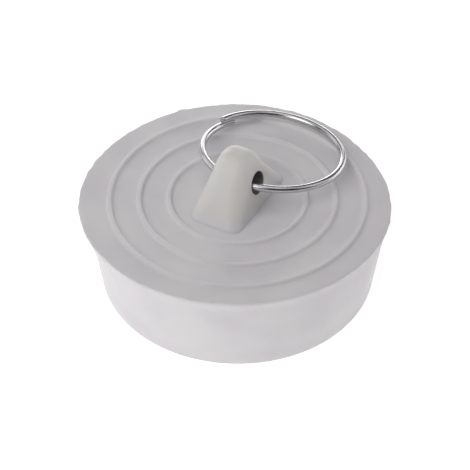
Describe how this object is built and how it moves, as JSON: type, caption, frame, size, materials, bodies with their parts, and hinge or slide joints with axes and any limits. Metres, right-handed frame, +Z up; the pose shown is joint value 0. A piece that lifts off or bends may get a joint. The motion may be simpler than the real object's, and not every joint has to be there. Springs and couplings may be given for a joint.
{
  "type": "drain stopper",
  "caption": "Round tapered rubber drain stopper with raised concentric beads, a central drafted lug and a wire pull ring that swings through the lug.",
  "frame": {"origin": "centre of the plug's foot, on the surface that it stands on", "axes": "+Z up along the plug's axis, X along the hole through the lug, ring lying back towards +Y"},
  "size_m": [0.045, 0.045, 0.0226],
  "materials": {
    "rubber": "moulded, satin, pale grey white",
    "wire": "bright drawn wire"
  },
  "bodies": {
    "plug": {"rubber_plug": "rubber"},
    "ring": {"pull_ring": "wire"}
  },
  "joints": [
    {"name": "ring_swing", "type": "hinge", "parent": "plug", "child": "ring", "pos_m": [0, 0, 0.0181], "axis": [1, 0, 0], "range_deg": [0, 197]}
  ]
}
